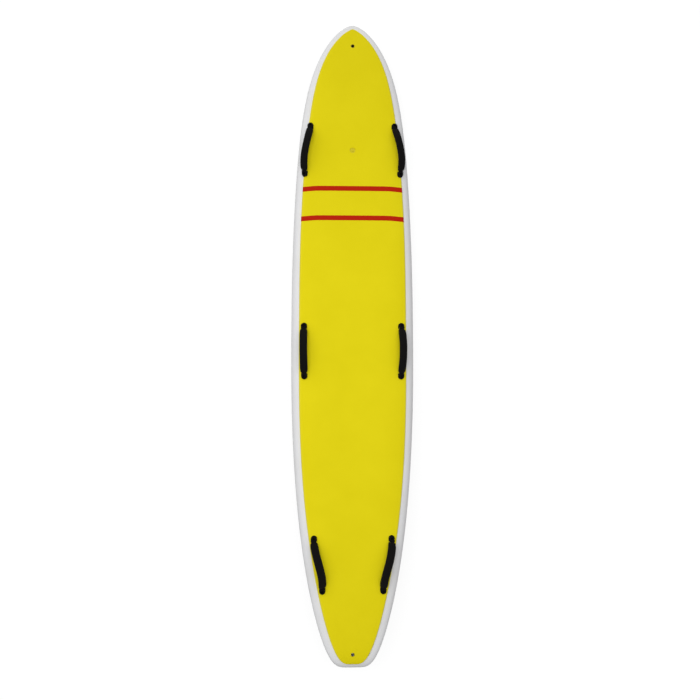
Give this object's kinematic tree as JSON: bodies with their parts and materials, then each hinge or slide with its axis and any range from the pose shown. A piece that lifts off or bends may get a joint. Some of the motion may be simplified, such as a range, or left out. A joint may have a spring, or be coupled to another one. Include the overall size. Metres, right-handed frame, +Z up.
{
  "type": "lifeguard rescue board",
  "caption": "Long foam-cored rescue paddleboard with a foam deck pad, padded carrying handles that lean, leash plugs, a vent plug and a sliding centre fin.",
  "frame": {"origin": "on the ground under the middle of the board's box, where it lies on its belly and on the tip of its fin", "axes": "+Y to the nose, +X to the right side of the deck, +Z up"},
  "size_m": [0.612, 3.2, 0.2702],
  "materials": {
    "webbing": "matte",
    "neoprene": "matte",
    "cap_plastic": "satin",
    "screw_steel": "satin",
    "block_foam": "matte",
    "plug_plastic": "satin",
    "pin_steel": "gloss",
    "vent_plastic": "satin",
    "seal_rubber": "matte",
    "box_plastic": "satin",
    "fin_plastic": "satin",
    "plate_brass": "satin",
    "deck_foam": "matte",
    "laminate": "gloss",
    "core_foam": "matte",
    "stringer_wood": "matte"
  },
  "bodies": {
    "board": {"nose_left_cap_front": "cap_plastic", "nose_left_screw_front": "screw_steel", "nose_left_cap_rear": "cap_plastic", "nose_left_screw_rear": "screw_steel", "nose_left_block": "block_foam", "nose_right_cap_front": "cap_plastic", "nose_right_screw_front": "screw_steel", "nose_right_cap_rear": "cap_plastic", "nose_right_screw_rear": "screw_steel", "nose_right_block": "block_foam", "mid_left_cap_front": "cap_plastic", "mid_left_screw_front": "screw_steel", "mid_left_cap_rear": "cap_plastic", "mid_left_screw_rear": "screw_steel", "mid_left_block": "block_foam", "mid_right_cap_front": "cap_plastic", "mid_right_screw_front": "screw_steel", "mid_right_cap_rear": "cap_plastic", "mid_right_screw_rear": "screw_steel", "mid_right_block": "block_foam", "tail_left_cap_front": "cap_plastic", "tail_left_screw_front": "screw_steel", "tail_left_cap_rear": "cap_plastic", "tail_left_screw_rear": "screw_steel", "tail_left_block": "block_foam", "tail_right_cap_front": "cap_plastic", "tail_right_screw_front": "screw_steel", "tail_right_cap_rear": "cap_plastic", "tail_right_screw_rear": "screw_steel", "tail_right_block": "block_foam", "nose_leash_cup": "plug_plastic", "nose_leash_pin": "pin_steel", "tail_leash_cup": "plug_plastic", "tail_leash_pin": "pin_steel", "vent_body": "vent_plastic", "fin_box": "box_plastic", "deck_pad": "deck_foam", "deck_skin": "laminate", "bottom_shell": "laminate", "core_left": "core_foam", "core_right": "core_foam", "stringer": "stringer_wood"},
    "nose_left_handle": {"nose_left_strap": "webbing", "nose_left_grip": "neoprene"},
    "nose_right_handle": {"nose_right_strap": "webbing", "nose_right_grip": "neoprene"},
    "mid_left_handle": {"mid_left_strap": "webbing", "mid_left_grip": "neoprene"},
    "mid_right_handle": {"mid_right_strap": "webbing", "mid_right_grip": "neoprene"},
    "tail_left_handle": {"tail_left_strap": "webbing", "tail_left_grip": "neoprene"},
    "tail_right_handle": {"tail_right_strap": "webbing", "tail_right_grip": "neoprene"},
    "vent_seal": {"vent_seal": "seal_rubber"},
    "vent_screw": {"vent_screw": "vent_plastic"},
    "fin": {"fin": "fin_plastic", "fin_plate": "plate_brass", "fin_screw": "screw_steel", "fin_pin": "plate_brass"}
  },
  "joints": [
    {"name": "nose_left_lean", "type": "hinge", "parent": "board", "child": "nose_left_handle", "pos_m": [-0.24305, 0.83855, 0.13088], "axis": [0.1271, 0.9915, -0.0281], "range_deg": [-30, 30], "stiffness_Nm_per_rad": 0.2},
    {"name": "nose_right_lean", "type": "hinge", "parent": "board", "child": "nose_right_handle", "pos_m": [0.24305, 0.83855, 0.13088], "axis": [-0.1271, 0.9915, -0.0281], "range_deg": [-34, 26], "stiffness_Nm_per_rad": 0.2},
    {"name": "mid_left_lean", "type": "hinge", "parent": "board", "child": "mid_left_handle", "pos_m": [-0.23966, -0.18067, 0.19044], "axis": [-0.0118, 0.9986, -0.0523], "range_deg": [-37, 23], "stiffness_Nm_per_rad": 0.2},
    {"name": "mid_right_lean", "type": "hinge", "parent": "board", "child": "mid_right_handle", "pos_m": [0.23966, -0.18067, 0.19044], "axis": [0.0118, 0.9986, -0.0523], "range_deg": [-30, 30], "stiffness_Nm_per_rad": 0.2},
    {"name": "tail_left_lean", "type": "hinge", "parent": "board", "child": "tail_left_handle", "pos_m": [-0.14772, -1.21422, 0.22735], "axis": [-0.1829, 0.9828, -0.0255], "range_deg": [-46, 14], "stiffness_Nm_per_rad": 0.2},
    {"name": "tail_right_lean", "type": "hinge", "parent": "board", "child": "tail_right_handle", "pos_m": [0.14772, -1.21422, 0.22735], "axis": [0.1829, 0.9828, -0.0255], "range_deg": [-25, 35], "stiffness_Nm_per_rad": 0.2},
    {"name": "fin_slide", "type": "slide", "parent": "board", "child": "fin", "axis": [0, 0.9943, -0.1069], "range_m": [-0.028, 0.028]},
    {"name": "vent_lift", "type": "slide", "parent": "board", "child": "vent_seal", "axis": [0, 0.0448, 0.999], "range_m": [0, 0.002]},
    {"name": "vent_turn", "type": "hinge", "parent": "vent_seal", "child": "vent_screw", "pos_m": [0, 0.94578, 0.11874], "axis": [0, 0.0448, 0.999], "range_deg": [0, 720]}
  ],
  "couplings": [
    {"joint": "vent_turn", "follows": "vent_lift", "rad_per_m": 6283.2}
  ]
}
